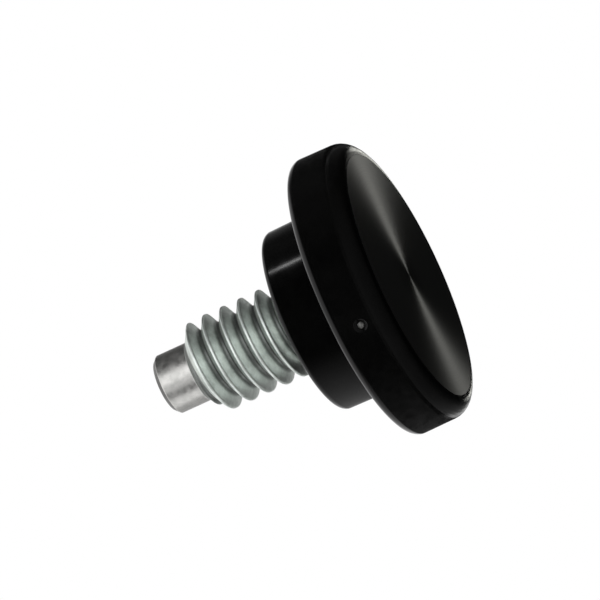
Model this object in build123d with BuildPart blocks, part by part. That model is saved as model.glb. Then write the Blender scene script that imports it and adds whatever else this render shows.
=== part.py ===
from build123d import *
import math
import os

# A thumb screw: a black plastic head moulded round the anchor of a zinc-plated steel stud.
# It stands on the flat front face of its head, stud upwards. Lengths are in millimetres.

# Plastic head
head_diameter = 19.05
head_thickness = 3.8
front_edge_radius = 1.15
back_edge_chamfer = 0.3
draft_angle = 1.0

# Collar behind the head, ending in the seat that closes on the clamped part
collar_diameter = 12.4
collar_height = 3.6
collar_edge_chamfer = 0.3
collar_root_chamfer = 0.25
seat_recess_clearance = 0.4
seat_recess_depth = 0.5

# Small hollow on the rim where the plastic was let into the mould
gate_diameter = 0.75
gate_depth = 0.12
gate_height_share = 0.5
gate_turn = 260.4

# Threaded stud, quarter inch with twenty turns to the inch
thread_diameter = 6.25
thread_pitch = 1.27
thread_depth_share = 0.6134
crest_width_share = 0.125
flank_angle = 30.0
thread_gap = 0.15
stud_reach = 10.15

# Pilot at the free end of the stud
pilot_diameter = 4.0
pilot_length = 2.45
pilot_chamfer = 0.3
lead_length = 0.7

# Anchor inside the plastic
front_skin = 2.2
anchor_diameter = 8.4
anchor_height = 2.8
anchor_chamfer = 0.35
knurl_count = 16
knurl_depth = 0.45
neck_relief = 0.05

# How far the thread's cutter stands clear of the crests, as a share of the pitch
cutter_rise_share = 0.06
cut_overrun = 0.5

# Levels, measured up from the front face
collar_end = head_thickness + collar_height
tip = collar_end + stud_reach
pilot_start = tip - pilot_length
thread_full = pilot_start - lead_length
thread_start = collar_end + thread_gap
anchor_end = front_skin + anchor_height
gate_height = head_thickness * gate_height_share

# Radii
draft_slope = math.tan(math.radians(draft_angle))
head_radius = head_diameter / 2
front_radius = head_radius - head_thickness * draft_slope
gate_floor_radius = front_radius + gate_height * draft_slope - gate_depth
collar_radius = collar_diameter / 2
seat_radius = collar_radius - collar_height * draft_slope
thread_radius = thread_diameter / 2
root_radius = thread_radius - thread_pitch * thread_depth_share
neck_radius = root_radius - neck_relief
seat_recess_radius = thread_radius + seat_recess_clearance
pilot_radius = pilot_diameter / 2
anchor_radius = anchor_diameter / 2

# Cutter of the thread: its half widths at the root and at its top
flank_slope = math.tan(math.radians(flank_angle))
cutter_rise = thread_pitch * cutter_rise_share
cutter_radius = thread_radius + cutter_rise
crest_half_gap = thread_pitch * (1 - crest_width_share) / 2
cutter_half_gap = crest_half_gap + cutter_rise * flank_slope
root_half_gap = crest_half_gap - (thread_radius - root_radius) * flank_slope
turn_count = math.ceil((pilot_start - thread_start) / thread_pitch) + 2

with BuildPart() as stud:
    # Turned blank from the anchor to the pilot
    with BuildSketch(Plane.XZ):
        with BuildLine():
            Polyline(
                (0, front_skin),
                (anchor_radius - anchor_chamfer, front_skin),
                (anchor_radius, front_skin + anchor_chamfer),
                (anchor_radius, anchor_end - anchor_chamfer),
                (anchor_radius - anchor_chamfer, anchor_end),
                (neck_radius, anchor_end),
                (neck_radius, thread_start),
                (thread_radius, thread_start + thread_radius - neck_radius),
                (thread_radius, thread_full),
                (pilot_radius, pilot_start),
                (pilot_radius, tip - pilot_chamfer),
                (pilot_radius - pilot_chamfer, tip),
                (0, tip),
                close=True,
            )
        make_face()
    revolve(axis=Axis.Z)

    # Straight knurl that keeps the anchor from turning in the plastic
    with BuildSketch(Plane.XY.offset(front_skin)):
        with PolarLocations(anchor_radius, knurl_count):
            RegularPolygon(radius=knurl_depth, side_count=4)
    extrude(amount=anchor_height, mode=Mode.SUBTRACT)

    # Right-hand thread, cut turn by turn from over the neck to past the lead
    for turn in range(turn_count):
        turn_level = thread_start + (turn - 1) * thread_pitch
        with BuildLine():
            turn_path = Helix(
                pitch=thread_pitch,
                height=thread_pitch,
                radius=root_radius,
                center=(0, 0, turn_level),
            )
        with BuildSketch(Plane.ZX):
            Polygon(
                (turn_level - root_half_gap, root_radius),
                (turn_level - cutter_half_gap, cutter_radius),
                (turn_level + cutter_half_gap, cutter_radius),
                (turn_level + root_half_gap, root_radius),
                align=None,
            )
        sweep(path=turn_path, is_frenet=True, mode=Mode.SUBTRACT)

with BuildPart() as head:
    # Disc and collar as one moulding, each narrowing away from the disc's back edge
    with BuildSketch(Plane.XZ) as section:
        with BuildLine():
            Polyline(
                (0, 0),
                (front_radius, 0),
                (head_radius, head_thickness),
                (collar_radius, head_thickness),
                (seat_radius, collar_end),
                (0, collar_end),
                close=True,
            )
        make_face()
        fillet(section.vertices().sort_by_distance((front_radius, 0))[0], front_edge_radius)
        for corner, setback in (
            ((head_radius, head_thickness), back_edge_chamfer),
            ((collar_radius, head_thickness), collar_root_chamfer),
            ((seat_radius, collar_end), collar_edge_chamfer),
        ):
            chamfer(section.vertices().sort_by_distance(corner)[0], setback)
    revolve(axis=Axis.Z)

    # Recess that lets the seat close over the first turn of the thread
    with BuildSketch(Plane.XY.offset(collar_end)):
        Circle(seat_recess_radius)
    extrude(amount=-seat_recess_depth, mode=Mode.SUBTRACT)

    # Gate mark on the rim
    gate_face = Plane((0, 0, gate_height), z_dir=Vector(1, 0, 0).rotate(Axis.Z, gate_turn))
    with BuildSketch(gate_face.offset(gate_floor_radius)):
        Circle(gate_diameter / 2)
    extrude(amount=gate_depth + cut_overrun, mode=Mode.SUBTRACT)

    # The plastic fills every groove of the anchor
    add(stud.part, mode=Mode.SUBTRACT)

os.makedirs("parts", exist_ok=True)
head.part.label = "head"
export_step(head.part, "parts/head.step")
stud.part.label = "stud"
export_step(stud.part, "parts/stud.step")
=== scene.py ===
import math

import bmesh
import bpy
import numpy as np
from mathutils import Matrix, Vector


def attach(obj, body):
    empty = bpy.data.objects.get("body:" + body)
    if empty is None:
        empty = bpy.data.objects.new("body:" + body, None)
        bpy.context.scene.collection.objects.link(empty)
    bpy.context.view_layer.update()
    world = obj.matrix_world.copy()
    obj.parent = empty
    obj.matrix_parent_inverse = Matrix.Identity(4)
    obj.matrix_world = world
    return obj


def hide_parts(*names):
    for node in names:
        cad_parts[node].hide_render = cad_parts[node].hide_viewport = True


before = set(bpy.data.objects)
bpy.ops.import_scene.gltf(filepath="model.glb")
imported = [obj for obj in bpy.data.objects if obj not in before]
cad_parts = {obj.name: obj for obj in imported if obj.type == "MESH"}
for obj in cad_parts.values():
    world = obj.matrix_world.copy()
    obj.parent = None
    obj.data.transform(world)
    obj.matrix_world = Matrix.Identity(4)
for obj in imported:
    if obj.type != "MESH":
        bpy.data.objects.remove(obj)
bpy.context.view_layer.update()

MM = 0.001
FULL_TURN = 2 * math.pi

# Sizes in millimetres, as in the part's source
HEAD_R, HEAD_T = 9.525, 3.8
DRAFT = math.tan(math.radians(1.0))
FRONT_R = HEAD_R - HEAD_T * DRAFT
COLLAR_R, COLLAR_END = 6.2, 7.4
SEAT_R = COLLAR_R - (COLLAR_END - HEAD_T) * DRAFT
RECESS_R, RECESS_FLOOR = 3.525, 6.9
THREAD_R, PITCH = 3.125, 1.27
THREAD_DEPTH_SHARE, GROOVE_HALF_SHARE = 0.6134, 0.4375
FLANK_SLOPE = 1 / math.tan(math.radians(30))
ROOT_R = THREAD_R - THREAD_DEPTH_SHARE * PITCH
NECK_RELIEF = 0.05
NECK_R = ROOT_R - NECK_RELIEF
THREAD_START, THREAD_FULL = 7.55, 14.4
PILOT_R, PILOT_START, TIP, TIP_CHAMFER = 2.0, 15.1, 17.55, 0.3

# Roundings of the moulding's edges
FRONT_ROUND, BACK_ROUND = 1.15, 0.5
COLLAR_ROOT_ROUND, COLLAR_END_ROUND = 0.28, 0.34
RECESS_MOUTH_ROUND, RECESS_FLOOR_ROUND = 0.06, 0.1

# Roundings of the rolled thread at its roots, crests and ends, and of the tip
ROOT_ROUND, CREST_ROUND, RUN_OUT_ROUND = 0.1, 0.05, 0.08
TIP_SIDE_ROUND, TIP_END_ROUND = 0.08, 0.06

# Gate mark on the rim: a shallow round hollow with a torn nib in its middle
GATE_TURN, GATE_Z = math.radians(260.4), 1.9
GATE_R, GATE_DEPTH, GATE_EDGE = 0.375, 0.12, 0.07
NIB_R, NIB_EDGE, NIB_HEIGHT = 0.22, 0.1, 0.1
NIB_RAGGED_SHARE, NIB_WAVE_ROUND, NIB_WAVE_UP = 0.25, 31, 17

# Fineness of the meshes
HEAD_COLUMNS, STUD_COLUMNS, ROWS_PER_PITCH, FLOOR_COLUMNS = 240, 168, 32, 96
ROUNDING_STEPS, TIP_STEPS = 8, 4
GATE_SPAN_DEG, GATE_STEP_DEG, GATE_MARGIN_DEG = 4.0, 0.25, 0.2
RUN_STEPS = {"face": 0.6, "rim": 0.045, "collar": 0.4}
SUPPORT = 0.04
MERGE_DISTANCE = 0.0005

# Where the meshes close on the axis, how far the neck reaches into the head,
# and how far the thread's rows run on past its two ends
CAP_R, NECK_SINK, THREAD_MARGIN = 0.15, 0.02, 0.2

# Colours, each from its darker to its lighter clouds
PLASTIC_TONES = (0.0018, 0.0018, 0.0018), (0.004, 0.0041, 0.004)
FACE_TONES = (0.002, 0.002, 0.0018), (0.0045, 0.0045, 0.004)
# The gate's torn nib: paler torn plastic, partly a painted highlight
TORN_PALE_AND_GLINT_TONES = (0.06, 0.06, 0.056), (0.34, 0.34, 0.33)
ZINC_TONES = (0.68, 0.73, 0.695), (0.86, 0.91, 0.875)
FLOOR_TONES = (0.80, 0.80, 0.79), (0.83, 0.83, 0.825)
# The pilot's tint: a neutral tone, and darker as painted shade against the stud lamps' bright shine on it
PILOT_TONE_AND_PAINTED_SHADE = (0.83, 0.775, 0.785)
FULL_TINT = (1.0, 1.0, 1.0)

# Part of a noise's range that its clouds of gloss use, and how far the lathe's rings wander
NOISE_LOW, NOISE_HIGH = 0.3, 0.7
RING_WANDER = 0.35

# Zinc: where the pilot's look sets in, the painted shade in the thread's roots and on the tip's chamfer,
# how the streaks change with the radius, and how much smoother the pilot is
PILOT_BEFORE, PILOT_AFTER = 0.05, 0.1
ROOT_SHADE_RISE, ROOT_PAINTED_SHADE = 0.22, 0.25
CHAMFER_BEFORE, CHAMFER_AFTER, CHAMFER_INSIDE, CHAMFER_PAINTED_SHADE = 0.04, 0.06, 0.06, 0.22
STREAK_CHANGE, PILOT_POLISH = 0.4, -0.08

# Photograph: its scale, and how the screw's axis lies in it
TILT, LEAN = math.radians(14.6), math.radians(24.66)
PX_PER_MM = 15.77
PHOTO_PX = 600
AXIS_POINT_Z = 8.273
AXIS_POINT_LEFT_PX, AXIS_POINT_DOWN_PX = 6.0, 27.39
CAMERA_DISTANCE, SENSOR_WIDTH = 450.0, 36.0


def smooth_step(value):
    share = min(max(value, 0.0), 1.0)
    return share * share * (3 - 2 * share)


# Mesh helpers


def rounded(corners, steps=ROUNDING_STEPS):
    """Outline (r, z, tag) through corners (r, z, rounding, tag); a tag names the run after a corner."""
    points = []
    for i, (r, z, rounding, tag) in enumerate(corners):
        here = np.array((r, z))
        if rounding <= 0 or i in (0, len(corners) - 1):
            points.append((r, z, tag))
            continue
        before = np.array(corners[i - 1][:2]) - here
        after = np.array(corners[i + 1][:2]) - here
        before /= np.linalg.norm(before)
        after /= np.linalg.norm(after)
        half = math.acos(float(np.clip(before @ after, -1, 1))) / 2
        reach = rounding / math.tan(half)
        inward = (before + after) / np.linalg.norm(before + after)
        centre = here + inward * rounding / math.sin(half)
        first = here + before * reach - centre
        last = here + after * reach - centre
        turn = math.atan2(first[0] * last[1] - first[1] * last[0], float(first @ last))
        for k in range(steps + 1):
            c, s = math.cos(turn * k / steps), math.sin(turn * k / steps)
            spot = centre + (first[0] * c - first[1] * s, first[0] * s + first[1] * c)
            points.append((spot[0], spot[1], tag if k == steps else "edge"))
    return points


def supported(points, longest):
    """Adds points just inside the ends of straight runs, which keep their shading flat, and along them."""
    out = []
    for (r0, z0, tag), (r1, z1, _) in zip(points, points[1:]):
        out.append((r0, z0, tag))
        length = math.hypot(r1 - r0, z1 - z0)
        if length > 4 * SUPPORT:
            shares = [SUPPORT / length, 1 - SUPPORT / length]
            if tag in longest:
                shares += list(np.linspace(0, 1, int(length / longest[tag]) + 1)[1:-1])
            for s in sorted(shares):
                out.append((r0 + (r1 - r0) * s, z0 + (z1 - z0) * s, tag))
    out.append(points[-1])
    return out


def circle(r, z, turns):
    return [(r * math.cos(a), r * math.sin(a), z) for a in turns]


def band(low, high, count):
    """Faces between two circles of vertices, whose first vertices are low and high."""
    faces = []
    for i in range(count):
        k = (i + 1) % count
        faces.append((low + i, low + k, high + k, high + i))
    return faces


def new_piece(name, verts, faces, materials, indices=None):
    mesh = bpy.data.meshes.new(name)
    mesh.from_pydata([tuple(float(c) * MM for c in v) for v in verts], [], faces)
    for m in materials:
        mesh.materials.append(m)
    if indices is not None:
        mesh.polygons.foreach_set("material_index", indices)
    mesh.polygons.foreach_set("use_smooth", [True] * len(mesh.polygons))
    mesh.update()
    mesh.validate()
    piece = bpy.data.objects.new(name, mesh)
    bpy.context.scene.collection.objects.link(piece)
    return piece


# Material helpers


class Nodes:
    """A material's node tree, with coordinates in millimetres and short names for its nodes."""

    def __init__(self, name):
        self.material = bpy.data.materials.new(name)
        self.material.use_nodes = True
        self.tree = self.material.node_tree
        self.shader = self.tree.nodes["Principled BSDF"]
        place = self.add("ShaderNodeNewGeometry").outputs["Position"]
        self.mm = self.vector("SCALE", place, scale=1 / MM)
        parts = self.add("ShaderNodeSeparateXYZ", Vector=self.mm).outputs
        self.x, self.y, self.z = parts["X"], parts["Y"], parts["Z"]
        self.radius = self.vector("LENGTH", self.join(X=self.x, Y=self.y))

    def put(self, socket, value):
        if isinstance(value, bpy.types.NodeSocket):
            self.tree.links.new(value, socket)
        else:
            socket.default_value = value

    def add(self, kind, **inputs):
        node = self.tree.nodes.new(kind)
        for key, value in inputs.items():
            self.put(node.inputs[key.replace("_", " ")], value)
        return node

    def join(self, **parts):
        return self.add("ShaderNodeCombineXYZ", **parts).outputs["Vector"]

    def vector(self, operation, value, scale=None):
        node = self.tree.nodes.new("ShaderNodeVectorMath")
        node.operation = operation
        self.put(node.inputs[0], value)
        if scale is not None:
            self.put(node.inputs["Scale"], scale)
        return node.outputs["Value" if operation == "LENGTH" else "Vector"]

    def math(self, operation, a, b=0.0):
        node = self.tree.nodes.new("ShaderNodeMath")
        node.operation = operation
        self.put(node.inputs[0], a)
        self.put(node.inputs[1], b)
        return node.outputs[0]

    def range(self, value, low, high, to_low=0.0, to_high=1.0):
        node = self.tree.nodes.new("ShaderNodeMapRange")
        node.interpolation_type = "SMOOTHSTEP"
        for socket, number in zip(node.inputs[:5], (value, low, high, to_low, to_high)):
            self.put(socket, number)
        return node.outputs[0]

    def noise(self, scale, detail=3.0, roughness=0.55, where=None):
        node = self.add("ShaderNodeTexNoise", Scale=scale, Detail=detail, Roughness=roughness)
        self.put(node.inputs["Vector"], where or self.mm)
        return node.outputs["Fac"]

    def ramp(self, value, *stops):
        node = self.add("ShaderNodeValToRGB", Fac=value)
        for stop, (place, colour) in zip(node.color_ramp.elements, stops):
            stop.position = place
            stop.color = (*colour, 1.0)
        return node.outputs["Color"]

    def clouds(self, noise, tones, low=0.3, high=0.75):
        return self.ramp(noise, (low, tones[0]), (high, tones[1]))

    def shade(self, colour, factor):
        node = self.tree.nodes.new("ShaderNodeMix")
        node.data_type = "RGBA"
        node.blend_type = "MULTIPLY"
        node.inputs[0].default_value = 1.0
        self.put(node.inputs[6], colour)
        self.put(node.inputs[7], factor)
        return node.outputs[2]

    def bump(self, height, distance, over=None):
        node = self.add("ShaderNodeBump", Height=height, Distance=distance * MM, Strength=1.0)
        if over is not None:
            self.put(node.inputs["Normal"], over)
        return node.outputs["Normal"]

    def finish(self, **inputs):
        for key, value in inputs.items():
            self.put(self.shader.inputs[key.replace("_", " ")], value)
        return self.material


def plastic(name, rough_low, rough_high, grain, specular):
    """Black moulded plastic: a little cloudy in colour and gloss, with a fine mould grain."""
    n = Nodes(name)
    colour = n.clouds(n.noise(scale=0.9), PLASTIC_TONES)
    rough = n.range(n.noise(scale=1.7, detail=4.0), NOISE_LOW, NOISE_HIGH, rough_low, rough_high)
    skin = n.bump(n.noise(scale=26.0, detail=2.0), grain)
    return n.finish(Base_Color=colour, Roughness=rough, Normal=skin, Specular_IOR_Level=specular)


def ringed_plastic(name):
    """Front face: fine rings left in the mould by the lathe, which draw the light out across them."""
    n = Nodes(name)
    colour = n.clouds(n.noise(scale=0.9), FACE_TONES)
    wander = n.math("MULTIPLY", n.noise(scale=0.5, detail=1.0), RING_WANDER)
    across = n.join(X=n.math("ADD", n.radius, wander))
    rings = n.noise(scale=14.0, detail=2.0, roughness=0.6, where=across)
    skin = n.bump(rings, distance=0.002)
    skin = n.bump(n.noise(scale=26.0, detail=2.0), distance=0.0005, over=skin)
    tangent = n.add("ShaderNodeTangent")
    tangent.direction_type = "RADIAL"
    tangent.axis = "Z"
    n.put(n.shader.inputs["Tangent"], tangent.outputs["Tangent"])
    rough = n.range(n.radius, low=0.4, high=3.2, to_low=0.3, to_high=0.4)
    rough = n.math("ADD", rough, n.range(rings, NOISE_LOW, NOISE_HIGH, to_low=-0.03, to_high=0.03))
    return n.finish(
        Base_Color=colour,
        Roughness=rough,
        Normal=skin,
        Specular_IOR_Level=0.5,
        Anisotropic=0.85,
        Anisotropic_Rotation=0.25,
    )


def torn_plastic_and_painted_glint(name):
    """Gate mark: plastic torn off the mould, paler and dull, and pale enough to be a painted glint."""
    n = Nodes(name)
    # partly painted highlight: torn plastic is paler, and this pale also stands in for a glint on the nib
    colour = n.clouds(n.noise(scale=6.0, detail=4.0), TORN_PALE_AND_GLINT_TONES, low=0.35, high=0.65)
    skin = n.bump(n.noise(scale=9.0, detail=4.0), distance=0.02)
    return n.finish(Base_Color=colour, Roughness=0.5, Normal=skin, Specular_IOR_Level=0.5)


def zinc(name):
    """Zinc on steel: cloudy and a little green on the thread, with painted shade in its roots and on the
    tip's chamfer, and a neutral pilot darkened by painted shade.
    """
    n = Nodes(name)
    chamfer_z, chamfer_r = TIP - TIP_CHAMFER, PILOT_R - TIP_CHAMFER
    pilot = n.range(n.z, PILOT_START - PILOT_BEFORE, PILOT_START + PILOT_AFTER)
    rolled = n.math("SUBTRACT", 1.0, pilot)
    # painted shade: the zinc's colour darkens into the thread's roots, where shade falls
    root_painted_shade = n.range(n.radius, ROOT_R, ROOT_R + ROOT_SHADE_RISE, to_low=ROOT_PAINTED_SHADE, to_high=1.0)
    # painted shade: the tip's chamfer is darkened in colour, in place of the dark it mirrors
    chamfer_painted_shade = n.math(
        "MULTIPLY",
        n.range(n.z, chamfer_z - CHAMFER_BEFORE, chamfer_z + CHAMFER_AFTER),
        n.range(n.radius, chamfer_r - CHAMFER_INSIDE, chamfer_r),
    )
    base = n.clouds(n.noise(scale=2.4, detail=5.0, roughness=0.65), ZINC_TONES, low=0.35, high=0.68)
    base = n.shade(base, n.math("MAXIMUM", root_painted_shade, pilot))
    base = n.shade(base, n.range(chamfer_painted_shade, 0.0, 1.0, to_low=1.0, to_high=CHAMFER_PAINTED_SHADE))
    # painted shade: the pilot's colour is darkened against how brightly the stud lamps shine on it
    base = n.shade(base, n.ramp(pilot, (0.0, FULL_TINT), (1.0, PILOT_TONE_AND_PAINTED_SHADE)))

    # The thread's skin has streaks along the helix, the pilot's has the marks of the turning tool
    turns = n.math("DIVIDE", n.math("ARCTAN2", n.y, n.x), FULL_TURN)
    along = n.math("SUBTRACT", n.math("DIVIDE", n.z, PITCH), turns)
    track = n.join(X=n.math("FRACT", along), Y=n.math("MULTIPLY", n.radius, STREAK_CHANGE))
    streaks = n.noise(scale=22.0, detail=2.0, where=track)
    pits = n.noise(scale=7.0, detail=4.0, roughness=0.6)
    cut = n.noise(scale=9.0, detail=2.0, where=n.join(X=n.radius, Y=n.z))
    skin = n.bump(n.math("MULTIPLY", rolled, n.math("ADD", streaks, pits)), distance=0.0035)
    skin = n.bump(n.math("MULTIPLY", cut, pilot), distance=0.003, over=skin)
    gloss = n.noise(scale=3.1, detail=5.0)
    rough = n.range(gloss, NOISE_LOW, NOISE_HIGH, to_low=0.36, to_high=0.48)
    rough = n.math("ADD", rough, n.math("MULTIPLY", pilot, PILOT_POLISH))
    return n.finish(Base_Color=base, Metallic=1.0, Roughness=rough, Normal=skin)


# Head: one turned outline, with the gate mark pressed into its rim


def gate_offset(r, z, turn):
    """How far the rim stands from its plain wall near the gate mark, and whether it is in the torn nib."""
    off = math.hypot(r * (turn - GATE_TURN), z - GATE_Z)
    hollow = GATE_DEPTH * smooth_step((GATE_R + GATE_EDGE / 2 - off) / GATE_EDGE)
    wave = math.sin(NIB_WAVE_ROUND * (turn - GATE_TURN) * r + NIB_WAVE_UP * z)
    ragged = 1 - NIB_RAGGED_SHARE + NIB_RAGGED_SHARE * wave
    nib = NIB_HEIGHT * ragged * smooth_step((NIB_R - off) / NIB_EDGE)
    return nib - hollow, off < NIB_R


def head_turns():
    """Turns of the head's columns, which are closer together at the gate mark."""
    spread = np.arange(-GATE_SPAN_DEG, GATE_SPAN_DEG + GATE_STEP_DEG / 2, GATE_STEP_DEG)
    near = GATE_TURN + np.radians(spread)
    wide = np.linspace(0, FULL_TURN, HEAD_COLUMNS, endpoint=False)
    wide = wide[np.abs(wide - GATE_TURN) > math.radians(GATE_SPAN_DEG + GATE_MARGIN_DEG)]
    return np.sort(np.concatenate([wide, near]))


def build_head():
    corners = [
        (0.0, 0.0, 0, "face"),
        (FRONT_R, 0.0, FRONT_ROUND, "rim"),
        (HEAD_R, HEAD_T, BACK_ROUND, "back"),
        (COLLAR_R, HEAD_T, COLLAR_ROOT_ROUND, "collar"),
        (SEAT_R, COLLAR_END, COLLAR_END_ROUND, "seat"),
        (RECESS_R, COLLAR_END, RECESS_MOUTH_ROUND, "seat"),
        (RECESS_R, RECESS_FLOOR, RECESS_FLOOR_ROUND, "seat"),
        (CAP_R, RECESS_FLOOR, 0, "seat"),
    ]
    looks = [
        plastic("plastic_smooth", rough_low=0.11, rough_high=0.17, grain=0.0005, specular=0.32),
        plastic("plastic_rim", rough_low=0.14, rough_high=0.2, grain=0.0006, specular=0.28),
        ringed_plastic("plastic_face"),
        torn_plastic_and_painted_glint("plastic_torn_painted_glint"),
        plastic("plastic_edge", rough_low=0.18, rough_high=0.24, grain=0.00005, specular=0.2),
    ]
    smooth, rim, face, torn, front_edge = range(len(looks))
    look_of = {"face": face, "rim": rim, "edge": smooth, "back": smooth, "collar": smooth, "seat": smooth}
    outline = supported(rounded(corners), longest=RUN_STEPS)
    turns = head_turns()
    count = len(turns)
    verts, in_nib = [(0.0, 0.0, 0.0)], [False]
    for r, z, tag in outline[1:]:
        for a in turns:
            offset, inside = gate_offset(r, z, a) if tag == "rim" else (0.0, False)
            verts.append(((r + offset) * math.cos(a), (r + offset) * math.sin(a), z))
            in_nib.append(inside)
    faces = [(0, 1 + (i + 1) % count, 1 + i) for i in range(count)]
    slots = [face] * count
    for j in range(len(outline) - 2):
        _, z, tag = outline[j + 1]
        look = front_edge if tag == "edge" and z < FRONT_ROUND else look_of[tag]
        for quad in band(1 + j * count, 1 + (j + 1) * count, count):
            faces.append(quad)
            slots.append(torn if in_nib[quad[0]] and in_nib[quad[2]] else look)
    faces.append(tuple(range(len(verts) - count, len(verts))))
    slots.append(smooth)
    return new_piece("moulded_head", verts, faces, looks, slots)


# Stud: rows of the mesh follow the thread's own helix


def soft_min(a, b, k):
    h = np.maximum(k - np.abs(a - b), 0.0) / k
    return np.minimum(a, b) - h * h * k / 4


def soft_max(a, b, k):
    return -soft_min(-a, -b, k)


def thread_radius(z, a):
    """Radius of the threaded part at height z and turn a, with rolled roots and crests."""
    along = np.mod(z - THREAD_START - PITCH * a / FULL_TURN + PITCH / 2, PITCH) - PITCH / 2
    root_half = PITCH * GROOVE_HALF_SHARE - (THREAD_R - ROOT_R) / FLANK_SLOPE
    r = ROOT_R + (np.abs(along) - root_half) * FLANK_SLOPE
    r = soft_max(r, ROOT_R, ROOT_ROUND)
    r = soft_min(r, THREAD_R, CREST_ROUND)
    lead = PILOT_R + (PILOT_START - z) * (THREAD_R - PILOT_R) / (PILOT_START - THREAD_FULL)
    r = soft_min(r, lead, RUN_OUT_ROUND)
    r = soft_min(r, NECK_R + (z - THREAD_START), RUN_OUT_ROUND)
    core = np.where(z > (THREAD_START + PILOT_START) / 2, PILOT_R, NECK_R)
    return soft_max(r, core, RUN_OUT_ROUND)


def thread_rows(turns, low, high):
    """Vertices and faces of the thread, cut off level at both ends."""
    count = len(turns)
    rows = int(math.ceil((high - low) / PITCH) + 1) * ROWS_PER_PITCH
    verts, faces = [], []
    for j in range(rows + 1):
        start = low - PITCH + PITCH * j / ROWS_PER_PITCH
        z = np.clip(start + PITCH * turns / FULL_TURN, low, high)
        r = thread_radius(z, turns)
        verts += [(rr * math.cos(a), rr * math.sin(a), zz) for rr, a, zz in zip(r, turns, z)]
    for j in range(rows):
        for i in range(count):
            here, up = j * count + i, (j + 1) * count + i
            if i + 1 < count:
                faces.append((here, here + 1, up + 1, up))
            elif j + ROWS_PER_PITCH + 1 <= rows:
                turn = (j + ROWS_PER_PITCH) * count
                faces.append((here, turn, turn + count, up))
    return verts, faces


def build_stud():
    turns = np.linspace(0, FULL_TURN, STUD_COLUMNS, endpoint=False)
    low, high = THREAD_START - THREAD_MARGIN, PILOT_START + THREAD_MARGIN
    verts, faces = thread_rows(turns, low, high)
    neck_end = RECESS_FLOOR - NECK_SINK
    neck = [(CAP_R, neck_end, 0, ""), (NECK_R, neck_end, 0, ""), (NECK_R, low, 0, "")]
    pilot = [
        (PILOT_R, high, 0, ""),
        (PILOT_R, TIP - TIP_CHAMFER, TIP_SIDE_ROUND, ""),
        (PILOT_R - TIP_CHAMFER, TIP, TIP_END_ROUND, ""),
        (CAP_R, TIP, 0, ""),
    ]
    faces.append(tuple(reversed(range(len(verts), len(verts) + STUD_COLUMNS))))
    for corners in (neck, pilot):
        outline = supported(rounded(corners, TIP_STEPS), longest={})
        base = len(verts)
        for r, z, _ in outline:
            verts += circle(r, z, turns)
        for j in range(len(outline) - 1):
            faces += band(base + j * STUD_COLUMNS, base + (j + 1) * STUD_COLUMNS, STUD_COLUMNS)
    faces.append(tuple(range(len(verts) - STUD_COLUMNS, len(verts))))
    piece = new_piece("threaded_stud", verts, faces, [zinc("zinc_plate")])
    work = bmesh.new()
    work.from_mesh(piece.data)
    bmesh.ops.remove_doubles(work, verts=work.verts, dist=MERGE_DISTANCE * MM)
    bmesh.ops.dissolve_degenerate(work, edges=work.edges, dist=MERGE_DISTANCE * MM)
    work.to_mesh(piece.data)
    work.free()
    return piece


head = build_head()
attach(head, "root")
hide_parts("head")

stud = build_stud()
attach(stud, "root")
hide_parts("stud")

# Floor: pale card, clear from below, where the photograph's camera is, with a hole under the head's face.
# Mirrors see all of it far out. Near the screw they see it dimmer, most of all on the side that is
# the photograph's upper one.
FLOOR_R = 900.0
DIM_INNER_R, DIM_OUTER_R = 30.0, 75.0
DIM_FROM_X, DIM_TO_X = -10.0, 15.0
DIM_LEAST, DIM_MOST = 0.6, 0.93


def build_floor():
    turns = [FULL_TURN * i / FLOOR_COLUMNS for i in range(FLOOR_COLUMNS)]
    verts = circle(FLOOR_R, 0.0, turns) + circle(FRONT_R - FRONT_ROUND, 0.0, turns)
    faces = band(0, FLOOR_COLUMNS, FLOOR_COLUMNS)
    n = Nodes("floor_card")
    n.finish(Base_Color=n.clouds(n.noise(scale=0.02), FLOOR_TONES, high=0.7), Roughness=0.9)
    from_below = n.add("ShaderNodeNewGeometry").outputs["Backfacing"]
    in_mirror = n.add("ShaderNodeLightPath").outputs["Is Glossy Ray"]
    dim = n.math(
        "MULTIPLY",
        n.range(n.x, DIM_FROM_X, DIM_TO_X, DIM_LEAST, DIM_MOST),
        n.range(n.radius, DIM_INNER_R, DIM_OUTER_R, to_low=1.0, to_high=0.0),
    )
    both = n.tree.nodes.new("ShaderNodeMixShader")
    n.put(both.inputs[0], n.math("MAXIMUM", from_below, n.math("MULTIPLY", in_mirror, dim)))
    n.put(both.inputs[1], n.shader.outputs[0])
    n.put(both.inputs[2], n.add("ShaderNodeBsdfTransparent").outputs[0])
    n.put(n.tree.nodes["Material Output"].inputs["Surface"], both.outputs[0])
    return new_piece("floor", verts, faces, [n.material])


build_floor()

# Camera: the photograph's view, with the head's front turned a little towards it
towards = Vector((0, -math.cos(TILT), -math.sin(TILT)))
stud_up = Vector((0, -math.sin(TILT), math.cos(TILT)))
side = Vector((1, 0, 0))
cam_x = -math.cos(LEAN) * stud_up - math.sin(LEAN) * side
cam_y = -math.sin(LEAN) * stud_up + math.cos(LEAN) * side
axis_point_shift = (cam_x * AXIS_POINT_LEFT_PX + cam_y * AXIS_POINT_DOWN_PX) / PX_PER_MM
aim = Vector((0, 0, AXIS_POINT_Z)) + axis_point_shift

camera_data = bpy.data.cameras.new("camera")
camera_data.sensor_width = SENSOR_WIDTH
camera_data.lens = SENSOR_WIDTH * CAMERA_DISTANCE * PX_PER_MM / PHOTO_PX
camera = bpy.data.objects.new("camera", camera_data)
facing = Matrix((cam_x, cam_y, towards)).transposed().to_4x4()
camera.matrix_world = Matrix.Translation((aim + towards * CAMERA_DISTANCE) * MM) @ facing
bpy.context.scene.collection.objects.link(camera)
bpy.context.scene.camera = camera

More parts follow.
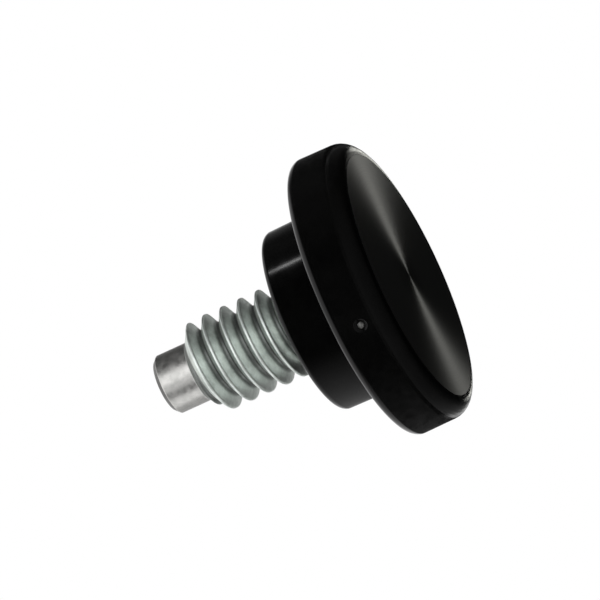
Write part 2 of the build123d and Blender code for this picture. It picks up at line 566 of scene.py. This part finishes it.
# Lamps: some for the stud alone, as a card would shade the head, one for the line of light on the collar,
# and two below the floor for the two wings of light on the ringed face
STUD_LAMP_DISTANCE, FACE_LAMP_DISTANCE, COLLAR_LAMP_DISTANCE = 300, 250, 200
STUD_AIM, THREAD_AIM, FACE_AIM = (0, 0, 13), (0, 0, 11), (0, 0, 0)
FACE_LAMP_COLOUR = (1.0, 1.0, 0.93)
SPOT_BLEND = 0.4


def mirrored(turn_deg):
    """Direction from which light on a round wall at this turn is mirrored to the camera."""
    double = 2 * math.radians(turn_deg)
    return (-math.cos(TILT) * math.sin(double), math.cos(TILT) * math.cos(double), math.sin(TILT))


def lamp(kind, name, target, direction, distance, watts):
    data = bpy.data.lights.new(name, kind)
    data.energy = watts
    obj = bpy.data.objects.new(name, data)
    away = Vector(direction).normalized()
    facing_target = away.to_track_quat("Z", "Y").to_matrix().to_4x4()
    obj.matrix_world = Matrix.Translation((Vector(target) + away * distance) * MM) @ facing_target
    bpy.context.scene.collection.objects.link(obj)
    return obj


def soft_lamp(name, target, direction, distance, width, watts):
    obj = lamp("AREA", name, target, direction, distance, watts)
    obj.data.shape = "SQUARE"
    obj.data.size = width * MM
    return obj


def narrow_lamp(name, radius, turn_deg, z, distance, bulb_radius, lit_radius, watts):
    """A lamp that the round wall of the given radius mirrors to the camera at this turn and height."""
    spot = circle(radius, z, [math.radians(turn_deg)])[0]
    data = lamp("SPOT", name, spot, mirrored(turn_deg), distance, watts).data
    data.shadow_soft_size = bulb_radius * MM
    data.spot_size = 2 * math.atan(lit_radius / distance)
    data.spot_blend = SPOT_BLEND


stud_only = bpy.data.collections.new("lit_by_stud_lamps")
stud_only.objects.link(stud)
for name, target, direction, width, watts in (
    ("stud_upper", STUD_AIM, mirrored(-79), 190, 0.084),
    ("stud_lower", STUD_AIM, mirrored(-128), 220, 0.116),
    ("stud_fill", STUD_AIM, mirrored(-85), 500, 0.37),
    ("stud_top", THREAD_AIM, (0, -0.7, 0.71), 300, 0.088),
):
    shine = soft_lamp(name, target, direction, STUD_LAMP_DISTANCE, width, watts)
    shine.light_linking.receiver_collection = stud_only

narrow_lamp(
    "collar_line",
    radius=COLLAR_R,
    turn_deg=-52,
    z=5.7,
    distance=COLLAR_LAMP_DISTANCE,
    bulb_radius=2,
    lit_radius=1.9,
    watts=0.045,
)
for name, direction, width, watts in (
    ("face_upper", (0.135, 0.985, -0.1075), 38, 0.0175),
    ("face_lower", (-0.14, 0.985, -0.1), 24, 0.0098),
):
    shine = soft_lamp(name, FACE_AIM, direction, FACE_LAMP_DISTANCE, width, watts)
    shine.data.color = FACE_LAMP_COLOUR

# World: a soft light overhead, the photograph's white table and backdrop, a bright and a dim card,
# and a little light from below. The camera sees white, and so do mirrors where the backdrop stands.
UP, DOWN = (0, 0, 1), (0, 0, -1)
AMBIENT = 0.01


class WorldNodes:
    """The world's light: how strong it is in each direction."""

    def __init__(self):
        self.world = bpy.data.worlds.new("studio")
        self.world.use_nodes = True
        self.tree = self.world.node_tree
        self.tree.nodes.clear()
        self.direction = self.tree.nodes.new("ShaderNodeTexCoord").outputs["Generated"]

    def put(self, socket, value):
        if isinstance(value, bpy.types.NodeSocket):
            self.tree.links.new(value, socket)
        else:
            socket.default_value = value

    def glow(self, centre, low, high, strength=1.0):
        """Light round a direction, rising smoothly with the cosine of the angle to it."""
        dot = self.tree.nodes.new("ShaderNodeVectorMath")
        dot.operation = "DOT_PRODUCT"
        self.put(dot.inputs[0], self.direction)
        self.put(dot.inputs[1], centre)
        rise = self.tree.nodes.new("ShaderNodeMapRange")
        rise.interpolation_type = "SMOOTHSTEP"
        for socket, value in zip(rise.inputs[:5], (dot.outputs["Value"], low, high, 0.0, strength)):
            self.put(socket, value)
        return rise.outputs[0]

    def cone(self, centre, outer_deg, inner_deg):
        return self.glow(centre, math.cos(math.radians(outer_deg)), math.cos(math.radians(inner_deg)))

    def combine(self, operation, first, *others):
        for other in others:
            node = self.tree.nodes.new("ShaderNodeMath")
            node.operation = operation
            self.put(node.inputs[0], first)
            self.put(node.inputs[1], other)
            first = node.outputs[0]
        return first

    def light(self, strength):
        node = self.tree.nodes.new("ShaderNodeBackground")
        node.inputs["Color"].default_value = (1, 1, 1, 1)
        self.put(node.inputs["Strength"], strength)
        return node.outputs[0]


def build_world():
    w = WorldNodes()
    overhead = w.glow(UP, low=0.42, high=0.77)
    from_below = w.glow((0, -0.6, -0.8), low=0.2, high=0.8, strength=0.12)
    dim_card = w.glow((0.97, -0.03, 0.25), low=0.7, high=0.97, strength=0.045)

    # Table and backdrop start above what the rim mirrors, the bright card ends below it
    above_rim = w.glow(UP, low=0.235, high=0.3)
    table = w.glow((-0.6, 0.7, 0.38), low=-0.1, high=1.1, strength=0.85)
    table = w.combine("MULTIPLY", table, above_rim)
    backdrop = w.cone(tuple(-towards), outer_deg=24, inner_deg=10)
    backdrop = w.combine("MULTIPLY", backdrop, above_rim)
    bright_card = w.cone((-0.36, 0.925, 0.12), outer_deg=20, inner_deg=10)
    card_foot = w.glow(UP, low=-0.05, high=0.05)
    card_top = w.glow(DOWN, low=-0.2, high=-0.12)
    bright_card = w.combine("MULTIPLY", bright_card, card_foot, card_top)

    room = w.combine("MAXIMUM", overhead, table, backdrop, bright_card)
    room = w.combine("ADD", room, dim_card, from_below, AMBIENT)
    rays = w.tree.nodes.new("ShaderNodeLightPath").outputs
    mirrors = w.combine("MAXIMUM", rays["Is Glossy Ray"], rays["Is Transmission Ray"])
    mirrors = w.combine("MULTIPLY", mirrors, backdrop)
    choice = w.tree.nodes.new("ShaderNodeMixShader")
    w.put(choice.inputs[0], w.combine("MAXIMUM", rays["Is Camera Ray"], mirrors))
    w.put(choice.inputs[1], w.light(room))
    w.put(choice.inputs[2], w.light(1.0))
    out = w.tree.nodes.new("ShaderNodeOutputWorld")
    w.put(out.inputs["Surface"], choice.outputs[0])
    bpy.context.scene.world = w.world


build_world()
bpy.context.scene.view_settings.view_transform = "Standard"
